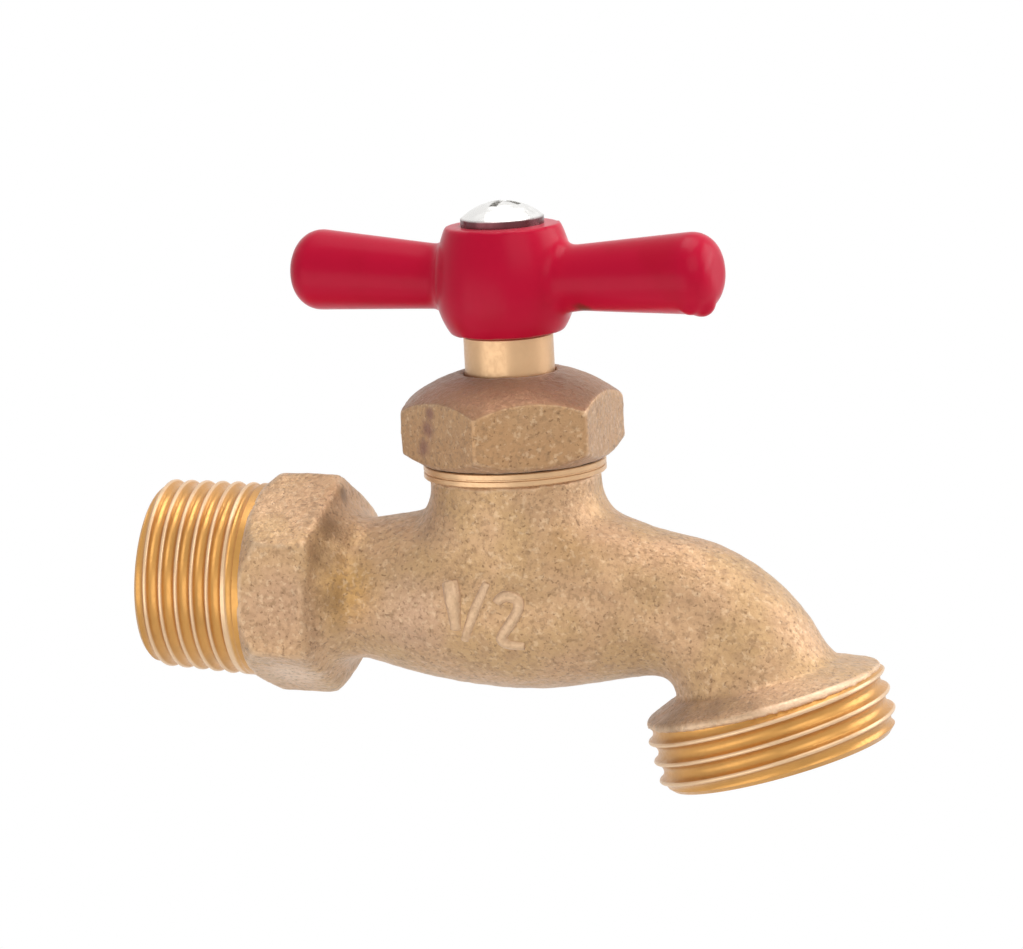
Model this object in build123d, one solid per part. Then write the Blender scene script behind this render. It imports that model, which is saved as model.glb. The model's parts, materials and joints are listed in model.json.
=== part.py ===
from build123d import *
import os
from math import cos, radians, sin, sqrt, tan

# A hose tap: a cast brass body with a half-inch pipe inlet and a hose-thread outlet, shut by a rising stem.
# Millimetres, +Z up. The origin is on the inlet axis where the thread meets the wrench hex, and +X leads
# away from the wall. Threads are rings at their true pitch and depth, without the helix. The valve is shut.

# Inlet: 1/2-14 tapered pipe thread and its wrench hex
PIPE_OD = 21.34
INLET_LENGTH = 12.1
TAPER_LENGTH = 9.0
TAPER = 1 / 16
INLET_LEAD = 0.9
INLET_BORE = 12.4
PIPE_PITCH = 1.814
HEX_OVER_PIPE = 0.2
HEX_LENGTH = 9.5
HEX_FRONT_CHAMFER = 2.1
HEX_BACK_CHAMFER = 0.9
HEX_BACK_SKEW = 7.5
HEX_TOP_SKEW = 0.8
HEX_RIM_INSET = 0.35

# Barrel: the pipe neck behind the hex, swelling into the valve bowl
PIPE_NECK_D = 15.4
BOWL_D = 19.9
BOWL_LEAD = 0.5
BOWL_STEPS = 4
BOWL_BACK_D = 19.2
BOWL_BACK_RISE = 0.6
WALL = 2.2

# Valve axis, which leans back towards the wall
VALVE_X = 29.6
VALVE_LEAN = 4.0
NECK_HEIGHT = 14.0
FLARE_START = 1.3
FLARE_DROP = 5.4
FLARE_SPREAD = 6.2
FLARE_SHIFT = 0.2
FLARE_PINCH = 0.3
FLARE_TURN = 75
FLARE_STEPS = 4
FLARE_FOOT = 2.5
CHAMBER_WALL = 2.5
CHAMBER_HEIGHT = 7.0
RING_HEIGHT = 1.45
RING_STEP = 1.3
RING_OVERHANG = 0.65
NECK_THREAD_LENGTH = 4.05
NECK_THREAD_WALL = 2.25

# Seat, cast in the body and faced through the neck
SEAT_BORE = 8.0
SEAT_RIM = 0.8
SEAT_LIP = 0.8
PARTITION = 2.4
LOWER_MARGIN = 1.5
ACROSS_WIDTH = 10.0
ACROSS_HEIGHT = 5.8

# Spout: an elbow that widens towards the outlet
SPOUT_REACH = 15.9
ELBOW_D = 15.8
ELBOW_RISE = 0.65
ELBOW_INNER = 2.1
ELBOW_WAIST = 0.7
ELBOW_STEPS = 5
SPOUT_END_D = 17.3

# Outlet: 3/4-11.5 hose thread, tilted outwards from straight down
OUTLET_TILT = 17.5
OUTLET_SHIFT = 0.4
OUTLET_OD = 26.9
OUTLET_LENGTH = 7.7
OUTLET_LEAD = 1.2
HOSE_PITCH = 2.209
HOSE_CRESTS = 3
OUTLET_BORE = 18.6
OUTLET_BORE_DEPTH = 5.4
OUTLET_BORE_CONE = 2.2
LIP_INSET = 0.35
LIP_THICKNESS = 0.8
LIP_FILLET = 1.1
LIP_SLOPE = 1.5
LIP_SINK = 0.15
LIP_RAISE = 0.1
LIP_SKEW = 1.0

# Form of both threads, as shares of the pitch and half the angle between the flanks
THREAD_DEPTH = 0.55
THREAD_CREST = 0.14
THREAD_FLANK = 30.0

# Packing nut and what it presses
NUT_SIDE = 2.0
NUT_TURN = 26.0
NUT_HEIGHT = 9.7
NUT_DOME = 3.6
NUT_DOME_BULGE = 0.5
NUT_TOP_LAND = 0.7
NUT_ROOF = 3.0
NUT_FOOT_CHAMFER = 1.5
PACKING_WASHER_HEIGHT = 1.0

# Stem with its washer cup
STEM_D = 9.8
STEM_SHOULDER = 1.4
STEM_THREAD_LENGTH = 6.5
STEM_WAIST_STEP = 0.9
STEM_SHOWN = 4.25
STEM_EDGE = 0.3
CUP_CLEARANCE = 0.5
CUP_PLATE = 1.8
CUP_RIM = 1.0
CUP_RIM_WALL = 0.7
WASHER_HEIGHT = 3.0
LIFT = 4.9

# Washer screw
WASHER_SCREW_D = 3.4
WASHER_SCREW_LENGTH = 8.0
WASHER_SCREW_HEAD_D = 6.4
WASHER_SCREW_HEAD = 1.8
WASHER_SCREW_SLOT = 0.9
WASHER_SCREW_SLOT_DEPTH = 0.8

# Handle
HUB_HEIGHT = 11.8
HUB_D = 15.4
HUB_TOP_D = 12.6
HUB_LEDGE = 1.2
HUB_BELLY = 5.0
HANDLE_TURN = -9.5
ARM_REACH = 25.2
ARM_HEIGHT = 5.65
ARM_ROOT_D = 6.1
ARM_END_D = 8.9
ARM_RISE = 2.6
ARM_END_ROUND = 2.9
ARM_FILLET = 1.8
DRIVE_LENGTH = 8.6
DRIVE_STEP = 0.4

# Handle screw
HANDLE_SCREW_D = 4.2
HANDLE_SCREW_LENGTH = 10.5
HANDLE_SCREW_HEAD_D = 9.1
HANDLE_SCREW_RIM = 0.8
HANDLE_SCREW_DOME = 1.8
CROSS_SPAN = 4.4
CROSS_WIDTH = 0.9
CROSS_DEPTH = 1.3

# Clearances
RUNNING_GAP = 0.15
SEAT_GAP = 0.1
FIT_GAP = 0.05

# Diameters that follow from the stem outwards
STEM_THREAD_D = STEM_D + 2 * STEM_SHOULDER
NECK_BORE = STEM_THREAD_D + 2 * RUNNING_GAP
NECK_THREAD_D = NECK_BORE + 2 * NECK_THREAD_WALL
RING_D = NECK_THREAD_D + 2 * RING_STEP
NECK_D = RING_D - 2 * RING_OVERHANG
CHAMBER_D = NECK_D - 2 * CHAMBER_WALL
NUT_BORE = NECK_THREAD_D + 2 * FIT_GAP
NUT_FLATS = NUT_BORE + 2 * NUT_SIDE
STEM_HOLE = STEM_D + 2 * RUNNING_GAP
CUP_D = STEM_THREAD_D - 2 * CUP_CLEARANCE
CUP_BORE = CUP_D - 2 * CUP_RIM_WALL
DRIVE_SQUARE = (STEM_D - 2 * DRIVE_STEP) / sqrt(2)
HEX_FLATS = PIPE_OD + HEX_OVER_PIPE
HEX_FILLET = (HEX_FLATS - PIPE_NECK_D) / 2 - HEX_RIM_INSET
LOWER_D = SEAT_BORE + 2 * LOWER_MARGIN

# Heights along the valve axis, from the inlet axis up
SEAT_TOP = SEAT_LIP
WASHER_BASE = SEAT_TOP + SEAT_GAP
WASHER_TOP = WASHER_BASE + WASHER_HEIGHT
CUP_TOP = WASHER_TOP + CUP_PLATE
RING_TOP = NECK_HEIGHT + RING_HEIGHT
NUT_BASE = RING_TOP + SEAT_GAP
NECK_TOP = RING_TOP + NECK_THREAD_LENGTH
PACKING_WASHER_TOP = NECK_TOP + PACKING_WASHER_HEIGHT
NUT_TOP = NUT_BASE + NUT_HEIGHT
PACKING_TOP = NUT_TOP - NUT_ROOF
STEM_THREAD_TOP = NECK_TOP - LIFT - RUNNING_GAP
STEM_THREAD_BASE = STEM_THREAD_TOP - STEM_THREAD_LENGTH
HUB_BASE = NUT_TOP + STEM_SHOWN
HUB_TOP = HUB_BASE + HUB_HEIGHT
DRIVE_TOP = HUB_BASE + DRIVE_LENGTH

# Frames of the inlet and of the valve
LEAN = radians(VALVE_LEAN)
TILT = radians(OUTLET_TILT)
INLET = Plane((0, 0, 0), x_dir=(0, 0, 1), z_dir=(1, 0, 0))
VALVE = Plane((VALVE_X, 0, 0), x_dir=(cos(LEAN), 0, sin(LEAN)), z_dir=(-sin(LEAN), 0, cos(LEAN)))

# Elbow and outlet, in the plane of the tap
ELBOW_X = VALVE_X + SPOUT_REACH
ELBOW_Z = ELBOW_RISE - ELBOW_D / 2 - ELBOW_INNER
ELBOW_END_REACH = ELBOW_INNER + SPOUT_END_D / 2
LIP_DROP = LIP_FILLET + LIP_SLOPE
OUTLET_REACH = ELBOW_END_REACH + OUTLET_SHIFT
OUTLET_X = ELBOW_X + OUTLET_REACH * cos(TILT) + LIP_DROP * sin(TILT)
OUTLET_Z = ELBOW_Z + OUTLET_REACH * sin(TILT) - LIP_DROP * cos(TILT)
OUTLET = Plane((OUTLET_X, 0, OUTLET_Z), x_dir=(cos(TILT), 0, sin(TILT)), z_dir=(sin(TILT), 0, -cos(TILT)))


def turned(*edges):
    """Solid of revolution about Z, from a closed outline drawn as (radius, height)."""
    return revolve(Plane.XZ * make_face(edges), Axis.Z)


def turned_points(*points):
    """Solid of revolution about Z, from straight runs between (radius, height) points."""
    return turned(*Polyline(*points, close=True).edges())


def rod(diameter, base, top):
    """Plain cylinder about Z between two heights."""
    return Pos(0, 0, base) * extrude(Circle(diameter / 2), top - base)


def hexagon(flats, base, top):
    """Hexagon bar about Z with a corner on +X."""
    return Pos(0, 0, base) * extrude(RegularPolygon(flats / 2, 6, major_radius=False), top - base)


def corner_radius(flats):
    """Half the width of a hexagon across its corners."""
    return flats / 2 / cos(radians(30))


def crest_outline(crest, height, pitch):
    """Outline of one thread ring as (radius, height) points, from root to root over its crest."""
    root = crest - THREAD_DEPTH * pitch
    flat = THREAD_CREST * pitch / 2
    foot = flat + (crest - root) * tan(radians(THREAD_FLANK))
    return [(root, height - foot), (crest, height - flat), (crest, height + flat), (root, height + foot)]


def inlet_thread():
    """Tapered pipe thread that ends in a short straight stretch at the hex."""
    pipe = PIPE_OD / 2
    end = pipe - TAPER_LENGTH * TAPER / 2
    straight = TAPER_LENGTH - INLET_LENGTH
    rings = int((TAPER_LENGTH - INLET_LEAD) / PIPE_PITCH)
    outline = []
    for ring in range(rings, 0, -1):
        back = ring * PIPE_PITCH
        outline += crest_outline(pipe - back * TAPER / 2, straight - back, PIPE_PITCH)
    run_out = crest_outline(pipe, straight + THREAD_CREST * PIPE_PITCH / 2, PIPE_PITCH)[:2]
    lead = [(0, -INLET_LENGTH), (end - INLET_LEAD, -INLET_LENGTH)]
    return turned_points(*lead, *outline[1:], *run_out, (pipe, 0), (0, 0))


def inlet_hex():
    """Wrench hex with turned front corners and a back face left a little askew by the mould."""
    corner = corner_radius(HEX_FLATS)
    skew = corner * (sin(radians(HEX_BACK_SKEW)) + sin(radians(HEX_TOP_SKEW)))
    front = turned_points(
        (0, 0),
        (PIPE_OD / 2, 0),
        (corner, HEX_FRONT_CHAMFER),
        (corner, HEX_LENGTH + skew),
        (0, HEX_LENGTH + skew),
    )
    back = turned_points(
        (0, -HEX_LENGTH),
        (2 * corner, -HEX_LENGTH),
        (2 * corner, HEX_LENGTH - HEX_BACK_CHAMFER),
        (corner, HEX_LENGTH - HEX_BACK_CHAMFER),
        (HEX_FLATS / 2, HEX_LENGTH),
        (0, HEX_LENGTH),
    )
    return hexagon(HEX_FLATS, 0, HEX_LENGTH + skew) & front & Rot(-HEX_BACK_SKEW, HEX_TOP_SKEW, 0) * back


def hex_run_out():
    """Hollow fillet that runs the back of the hex out on the pipe neck."""
    neck = PIPE_NECK_D / 2
    rim = neck + HEX_FILLET
    end = HEX_LENGTH + HEX_FILLET
    base = HEX_LENGTH - HEX_BACK_CHAMFER
    hollow = turned(
        Line((0, base), (rim, base)),
        Line((rim, base), (rim, HEX_LENGTH)),
        CenterArc((rim, end), HEX_FILLET, 180, 90),
        Line((neck, end), (0, end)),
        Line((0, end), (0, base)),
    )
    return Rot(-HEX_BACK_SKEW, HEX_TOP_SKEW, 0) * hollow


def section(x, z, heading, diameter):
    """Round section of the barrel or the spout, facing a heading in degrees below +X."""
    turn = radians(heading)
    return Plane((x, 0, z), x_dir=(0, 1, 0), z_dir=(cos(turn), 0, -sin(turn))) * Circle(diameter / 2)


def spout_sections(inset):
    """Sections of the spout from the bowl's back to inside the outlet, taken in from the skin."""
    back = section(VALVE_X + LOWER_D / 2 + WALL, BOWL_BACK_RISE, 0, BOWL_BACK_D - 2 * inset)
    sections = [back]
    for step in range(ELBOW_STEPS + 1):
        share = step / ELBOW_STEPS
        heading = share * (90 - OUTLET_TILT)
        diameter = ELBOW_D + share * (SPOUT_END_D - ELBOW_D) - 4 * share * (1 - share) * ELBOW_WAIST
        reach = ELBOW_INNER + diameter / 2
        x = ELBOW_X + reach * sin(radians(heading))
        z = ELBOW_Z + reach * cos(radians(heading))
        sections.append(section(x, z, heading, diameter - 2 * inset))
    sections.append(section(OUTLET_X, OUTLET_Z, 90 - OUTLET_TILT, SPOUT_END_D - 2 * inset))
    return sections


def barrel_and_spout():
    """Cast skin from the hex to the outlet, lofted through round sections."""
    bowl_x = VALVE_X - BOWL_LEAD
    run = bowl_x - HEX_LENGTH - HEX_FILLET
    swell = (BOWL_D - PIPE_NECK_D) / 2
    arc = (run**2 + swell**2) / (2 * swell)
    barrel = []
    for step in range(BOWL_STEPS + 1):
        back = (bowl_x - HEX_LENGTH) * (1 - step / BOWL_STEPS)
        radius = BOWL_D / 2 - arc + sqrt(arc**2 - back**2)
        barrel.append(section(bowl_x - back, 0, 0, 2 * radius))
    return loft(barrel + spout_sections(0))


def valve_neck():
    """Neck that carries the stem, with its turned ring and outer thread."""
    base = NECK_HEIGHT - FLARE_START
    return turned_points(
        (0, base),
        (NECK_D / 2, base),
        (NECK_D / 2, NECK_HEIGHT),
        (RING_D / 2, NECK_HEIGHT),
        (RING_D / 2, RING_TOP),
        (NECK_THREAD_D / 2, RING_TOP),
        (NECK_THREAD_D / 2, NECK_TOP),
        (0, NECK_TOP),
    )


def neck_flare():
    """Foot of the neck, spread along the tap and run down into the bowl."""
    sections = []
    for step in range(FLARE_STEPS + 1):
        turn = radians(FLARE_TURN * step / FLARE_STEPS)
        height = NECK_HEIGHT - FLARE_START - FLARE_DROP * sin(turn)
        share = 1 - cos(turn)
        oval = Ellipse(NECK_D / 2 + FLARE_SPREAD * share, NECK_D / 2 - FLARE_PINCH * share)
        sections.append(Pos(FLARE_SHIFT * share, 0, height) * oval)
    foot = Pos(0, 0, FLARE_FOOT - height) * sections[-1]
    return loft(sections + [foot])


def outlet_lip():
    """Cast lip that the spout runs out in, left a little askew over the thread by the mould."""
    neck = SPOUT_END_D / 2 - LIP_SINK
    lip = OUTLET_OD / 2 - LIP_INSET
    form = turned(
        Line((0, -LIP_DROP), (neck, -LIP_DROP)),
        CenterArc((neck + LIP_FILLET, -LIP_DROP), LIP_FILLET, 180, -90),
        Line((neck + LIP_FILLET, -LIP_SLOPE), (lip, 0)),
        Polyline((lip, 0), (lip, LIP_THICKNESS), (0, LIP_THICKNESS), (0, -LIP_DROP)),
    )
    return Pos(0, 0, -LIP_RAISE) * Rot(0, -LIP_SKEW, 0) * form


def outlet_thread():
    """Hose thread under the lip, with its last crest run off to the end."""
    crest = OUTLET_OD / 2
    last = OUTLET_LENGTH - OUTLET_LEAD - THREAD_CREST * HOSE_PITCH / 2
    outline = []
    for ring in range(HOSE_CRESTS - 1, -1, -1):
        outline += crest_outline(crest, last - ring * HOSE_PITCH, HOSE_PITCH)
    root = crest - THREAD_DEPTH * HOSE_PITCH
    end = (crest - OUTLET_LEAD, OUTLET_LENGTH)
    return turned_points((0, 0), (root, 0), *outline[:-1], end, (0, OUTLET_LENGTH))


def waterway():
    """Everything the water fills, from the inlet under the seat, up through it and down the spout."""
    pipe_bore = PIPE_NECK_D - 2 * WALL
    bore_end = VALVE_X - CHAMBER_D / 2 - WALL
    inlet = INLET * turned_points(
        (0, -INLET_LENGTH),
        (INLET_BORE / 2, -INLET_LENGTH),
        (INLET_BORE / 2, 0),
        (pipe_bore / 2, HEX_LENGTH),
        (pipe_bore / 2, bore_end),
        (0, bore_end),
    )
    lower_base = -BOWL_D / 2
    lower = VALVE * rod(LOWER_D, lower_base, -PARTITION)
    under = Plane((bore_end - WALL / 2, 0, -PARTITION)) * Box(
        VALVE_X - bore_end + WALL / 2,
        LOWER_D,
        -PARTITION - lower_base,
        align=(Align.MIN, Align.CENTER, Align.MAX),
    )
    lower = (lower + under) & INLET * rod(BOWL_D - 2 * WALL, 0, VALVE_X + LOWER_D)
    seat = VALVE * rod(SEAT_BORE, -PARTITION, SEAT_TOP)
    chamber = VALVE * (rod(CHAMBER_D, 0, CHAMBER_HEIGHT) + rod(NECK_BORE, 0, NECK_TOP))
    across_slot = Plane.YZ * Pos(0, ACROSS_HEIGHT / 2) * SlotOverall(ACROSS_WIDTH, ACROSS_HEIGHT)
    across = Pos(VALVE_X, 0, 0) * extrude(across_slot, LOWER_D / 2 + 2 * WALL)
    spout = loft(spout_sections(WALL))
    outlet = OUTLET * turned_points(
        (0, 0),
        (SPOUT_END_D / 2 - WALL, 0),
        (SPOUT_END_D / 2 - WALL, OUTLET_LENGTH - OUTLET_BORE_DEPTH - OUTLET_BORE_CONE),
        (OUTLET_BORE / 2, OUTLET_LENGTH - OUTLET_BORE_DEPTH),
        (OUTLET_BORE / 2, OUTLET_LENGTH),
        (0, OUTLET_LENGTH),
    )
    return inlet + lower + seat + chamber + across + spout + outlet


def body():
    """The one casting, with its waterway and seat."""
    casting = barrel_and_spout() + OUTLET * (outlet_lip() + outlet_thread())
    casting += INLET * (inlet_thread() + inlet_hex() + hex_run_out())
    skin = casting + VALVE * neck_flare() + VALVE * valve_neck()
    lip = rod(SEAT_BORE + 2 * SEAT_RIM, -PARTITION / 2, SEAT_TOP) - rod(SEAT_BORE, -PARTITION, SEAT_TOP)
    return skin - waterway() + VALVE * lip


def packing_nut():
    """Hexagon nut with a domed top, over the neck thread and the packing."""
    corner = corner_radius(NUT_FLATS)
    land = STEM_HOLE / 2 + NUT_TOP_LAND
    foot = NUT_BASE + NUT_FOOT_CHAMFER
    dome = NUT_TOP - NUT_DOME
    form = turned(
        Polyline((land, NUT_TOP), (0, NUT_TOP), (0, NUT_BASE), (RING_D / 2, NUT_BASE), (corner, foot)),
        Line((corner, foot), (corner, dome)),
        SagittaArc((corner, dome), (land, NUT_TOP), -NUT_DOME_BULGE),
    )
    nut = hexagon(NUT_FLATS, NUT_BASE, NUT_TOP) & form
    nut -= rod(NUT_BORE, NUT_BASE, PACKING_TOP)
    nut -= rod(STEM_HOLE, PACKING_TOP, NUT_TOP)
    return VALVE * Rot(0, 0, NUT_TURN) * nut


def packing_washer():
    """Thin ring on the neck's rim, under the packing."""
    ring = rod(NECK_THREAD_D, NECK_TOP, PACKING_WASHER_TOP)
    return VALVE * (ring - rod(STEM_HOLE, NECK_TOP, PACKING_WASHER_TOP))


def packing_ring():
    """Soft ring squeezed between its washer, the nut and the stem."""
    outer = rod(NUT_BORE - 2 * FIT_GAP, PACKING_WASHER_TOP, PACKING_TOP)
    return VALVE * (outer - rod(STEM_D + 2 * FIT_GAP, PACKING_WASHER_TOP, PACKING_TOP))


def stem():
    """Turned stem: washer cup, waist, thread, shaft and square drive, tapped at both ends."""
    shaft = STEM_D / 2
    waist = shaft - STEM_WAIST_STEP
    thread = STEM_THREAD_D / 2
    turning = turned_points(
        (0, WASHER_TOP - CUP_RIM),
        (CUP_D / 2, WASHER_TOP - CUP_RIM),
        (CUP_D / 2, CUP_TOP),
        (waist, CUP_TOP),
        (waist, STEM_THREAD_BASE),
        (thread, STEM_THREAD_BASE),
        (thread, STEM_THREAD_TOP),
        (shaft, STEM_THREAD_TOP),
        (shaft, HUB_BASE - STEM_EDGE),
        (shaft - STEM_EDGE, HUB_BASE),
        (0, HUB_BASE),
    )
    turning -= rod(CUP_BORE, WASHER_TOP - CUP_RIM, WASHER_TOP)
    drive = Pos(0, 0, HUB_BASE) * extrude(Rectangle(DRIVE_SQUARE, DRIVE_SQUARE), DRIVE_LENGTH)
    turning += Rot(0, 0, HANDLE_TURN) * drive
    turning -= rod(HANDLE_SCREW_D + 2 * FIT_GAP, HUB_TOP - HANDLE_SCREW_LENGTH - SEAT_GAP, DRIVE_TOP)
    turning -= rod(WASHER_SCREW_D + 2 * FIT_GAP, WASHER_TOP, WASHER_BASE + WASHER_SCREW_LENGTH + SEAT_GAP)
    return VALVE * turning


def seat_washer():
    """Rubber disc that shuts on the seat."""
    disc = rod(CUP_BORE - 2 * FIT_GAP, WASHER_BASE, WASHER_TOP)
    return VALVE * (disc - rod(WASHER_SCREW_D + 2 * RUNNING_GAP, WASHER_BASE, WASHER_TOP))


def washer_screw():
    """Slotted screw that holds the seat washer up against its cup."""
    head_base = WASHER_BASE - WASHER_SCREW_HEAD
    screw = rod(WASHER_SCREW_HEAD_D, head_base, WASHER_BASE)
    screw += rod(WASHER_SCREW_D, WASHER_BASE, WASHER_BASE + WASHER_SCREW_LENGTH)
    slot = Box(WASHER_SCREW_HEAD_D, WASHER_SCREW_SLOT, 2 * WASHER_SCREW_SLOT_DEPTH)
    return VALVE * (screw - Pos(0, 0, head_base) * slot)


def handle_arm():
    """One tapering arm with a rounded end, about Z from the hub's axis outwards."""
    end = ARM_END_D / 2
    shoulder = ARM_REACH - ARM_END_ROUND
    return turned(
        Line((0, 0), (ARM_ROOT_D / 2, 0)),
        Line((ARM_ROOT_D / 2, 0), (end, shoulder)),
        CenterArc((end - ARM_END_ROUND, shoulder), ARM_END_ROUND, 0, 90),
        Line((end - ARM_END_ROUND, ARM_REACH), (0, ARM_REACH)),
        Line((0, ARM_REACH), (0, 0)),
    )


def handle():
    """Barrel hub with two arms that rise a little outwards, on the stem's square."""
    base = STEM_D / 2 + HUB_LEDGE
    belly = (HUB_D / 2, HUB_BELLY)
    hub = turned(
        TangentArc(belly, (base, 0), tangent=(0, -1)),
        Polyline((base, 0), (0, 0), (0, HUB_HEIGHT), (HUB_TOP_D / 2, HUB_HEIGHT)),
        TangentArc(belly, (HUB_TOP_D / 2, HUB_HEIGHT), tangent=(0, 1)),
    )
    arm = Pos(0, 0, ARM_HEIGHT) * Rot(0, 90 - ARM_RISE, 0) * handle_arm()
    arms = arm + Rot(0, 0, 180) * arm
    form = fillet(new_edges(hub, arms, combined=hub + arms), ARM_FILLET)
    socket = DRIVE_SQUARE + 2 * FIT_GAP
    form -= extrude(Rectangle(socket, socket), DRIVE_LENGTH + SEAT_GAP)
    form -= rod(HANDLE_SCREW_D + 2 * RUNNING_GAP, 0, HUB_HEIGHT)
    return VALVE * Pos(0, 0, HUB_BASE) * Rot(0, 0, HANDLE_TURN) * form


def handle_screw():
    """Domed screw with a cross recess, down through the hub into the stem."""
    head = HANDLE_SCREW_HEAD_D / 2
    rim = HUB_TOP + HANDLE_SCREW_RIM
    apex = rim + HANDLE_SCREW_DOME
    screw = turned(
        Polyline((0, apex), (0, HUB_TOP), (head, HUB_TOP), (head, rim)),
        ThreePointArc((head, rim), (0, apex), (-head, rim)).trim(0, 0.5),
    )
    screw += rod(HANDLE_SCREW_D, HUB_TOP - HANDLE_SCREW_LENGTH, HUB_TOP)
    bar = Box(CROSS_SPAN, CROSS_WIDTH, 2 * CROSS_DEPTH)
    screw -= Pos(0, 0, apex) * (bar + Rot(0, 0, 90) * bar)
    return VALVE * Rot(0, 0, HANDLE_TURN) * screw


PIECES = {
    "body": body(),
    "packing_nut": packing_nut(),
    "packing_washer": packing_washer(),
    "packing_ring": packing_ring(),
    "stem": stem(),
    "seat_washer": seat_washer(),
    "washer_screw": washer_screw(),
    "handle": handle(),
    "handle_screw": handle_screw(),
}

os.makedirs("parts", exist_ok=True)
for name, piece in PIECES.items():
    export_step(piece, f"parts/{name}.step")
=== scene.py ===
import json
from math import cos, pi, radians, sin, tan

import bpy
import numpy as np
from mathutils import Matrix, Vector


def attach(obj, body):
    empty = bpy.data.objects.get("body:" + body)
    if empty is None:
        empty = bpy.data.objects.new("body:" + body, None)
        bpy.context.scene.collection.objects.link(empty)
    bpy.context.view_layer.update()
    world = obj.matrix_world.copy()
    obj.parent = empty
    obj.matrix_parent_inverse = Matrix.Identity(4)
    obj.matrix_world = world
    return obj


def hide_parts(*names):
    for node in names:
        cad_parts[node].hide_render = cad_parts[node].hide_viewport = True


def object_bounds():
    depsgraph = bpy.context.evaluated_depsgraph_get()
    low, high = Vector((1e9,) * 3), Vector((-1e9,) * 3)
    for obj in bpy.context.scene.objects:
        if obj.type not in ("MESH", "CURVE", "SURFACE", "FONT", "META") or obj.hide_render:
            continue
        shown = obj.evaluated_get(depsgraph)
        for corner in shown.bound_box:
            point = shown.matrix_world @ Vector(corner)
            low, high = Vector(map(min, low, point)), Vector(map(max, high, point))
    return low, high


bl_info = {
    "name": "Hose tap",
    "version": (1, 0, 0),
    "blender": (4, 5, 0),
    "location": "View3D > Sidebar > Hose tap",
    "description": "Cast skin, cut threads, enamelled handle and plain stage around the packed hose tap",
    "category": "Object",
}

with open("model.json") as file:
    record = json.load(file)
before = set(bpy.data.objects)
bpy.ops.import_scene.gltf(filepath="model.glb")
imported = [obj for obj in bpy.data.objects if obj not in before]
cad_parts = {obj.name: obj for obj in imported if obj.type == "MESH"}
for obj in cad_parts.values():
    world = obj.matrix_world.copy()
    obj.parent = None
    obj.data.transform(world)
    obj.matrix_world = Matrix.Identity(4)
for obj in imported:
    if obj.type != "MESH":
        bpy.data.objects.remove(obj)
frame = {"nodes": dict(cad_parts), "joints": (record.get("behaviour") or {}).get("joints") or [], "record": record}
CAD_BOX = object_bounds()
MM = 0.001

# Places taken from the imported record
MOUNTS = {mount["name"]: mount for mount in frame["record"]["mounts"]}
JOINTS = {joint["name"]: joint for joint in frame["joints"]}


def facing(origin, direction):
    """Matrix that puts local Z along a direction in the plane of the tap."""
    z = Vector(direction).normalized()
    y = Vector((0, 1, 0))
    x = y.cross(z)
    turn = Matrix((x, y, z)).transposed().to_4x4()
    return Matrix.Translation(origin) @ turn


VALVE = facing(JOINTS["handle_turn"]["pos_m"], JOINTS["handle_turn"]["axis"])
INLET = facing((0, 0, 0), (1, 0, 0))

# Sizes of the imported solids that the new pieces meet, in millimetres
PIPE_RADIUS = 10.67
INLET_LENGTH = 12.1
TAPER_LENGTH = 9.0
TAPER = 1 / 32
INLET_LEAD = 0.9
INLET_BORE = 6.2
OUTLET_RADIUS = 13.45
OUTLET_LENGTH = 7.7
OUTLET_LEAD = 1.2
OUTLET_BORE = 9.3
OUTLET_CONE_BASE = 6.45
LIP_FOOT = 0.7
LIP_SKEW = 1.0
HEX_LENGTH = 9.5
HEX_BACK_SKEW = 7.5
NECK_HEIGHT = 14.0
NECK_RADIUS = 9.35
RING_RADIUS = 10.0
RING_TOP = 15.45
NECK_THREAD_RADIUS = 8.7
NECK_TOP = 19.5
NECK_BORE = 6.45

# The outlet's frame, up from the middle of its mount to the top of its thread
OUTLET_WAY = Vector(MOUNTS["outlet_thread"]["axis"])
OUTLET_MIDDLE = OUTLET_LENGTH - OUTLET_LEAD - MOUNTS["outlet_thread"]["dims"]["length_mm"] / 2
OUTLET = facing(Vector(MOUNTS["outlet_thread"]["pos_m"]) - OUTLET_WAY * OUTLET_MIDDLE * MM, OUTLET_WAY)

# Raised size mark: how far it sinks into the bowl, how wide its strokes swell and the size of its cells
MARK_SINK = 0.28
MARK_SWELL = 1.4
MARK_VOXEL = 0.13

# Strokes of the raised size mark, as points (x, y, z) on the bowl and stroke radii, in millimetres
NUMERALS = {
    "one": (
        (23.99, -9.17, 3.24, 0.7),
        (24.47, -9.62, 1.75, 0.8),
        (24.73, -9.77, -0.04, 0.6),
        (24.89, -9.60, -1.99, 0.5),
    ),
    "bar": (
        (28.21, -9.30, 3.39, 0.4),
        (27.54, -9.76, 1.63, 0.5),
        (26.57, -9.84, -0.80, 0.5),
        (25.76, -9.32, -3.18, 0.4),
    ),
    "two": (
        (29.41, -9.87, 1.28, 0.42),
        (29.77, -9.74, 1.94, 0.5),
        (30.87, -9.69, 2.19, 0.5),
        (31.98, -9.77, 1.81, 0.5),
        (31.99, -9.88, 0.88, 0.5),
        (31.53, -9.93, -0.05, 0.5),
        (30.88, -9.87, -1.07, 0.5),
        (30.10, -9.69, -2.13, 0.5),
        (29.89, -9.53, -2.79, 0.5),
        (30.86, -9.37, -3.23, 0.5),
        (32.61, -9.30, -3.22, 0.4),
    ),
}

# Thread groove: half its mouth and the depth of its worn edge as shares of the pitch, and its flank
GROOVE_MOUTH = 0.475
GROOVE_EDGE = 0.035
GROOVE_FLANK = radians(30)

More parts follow.
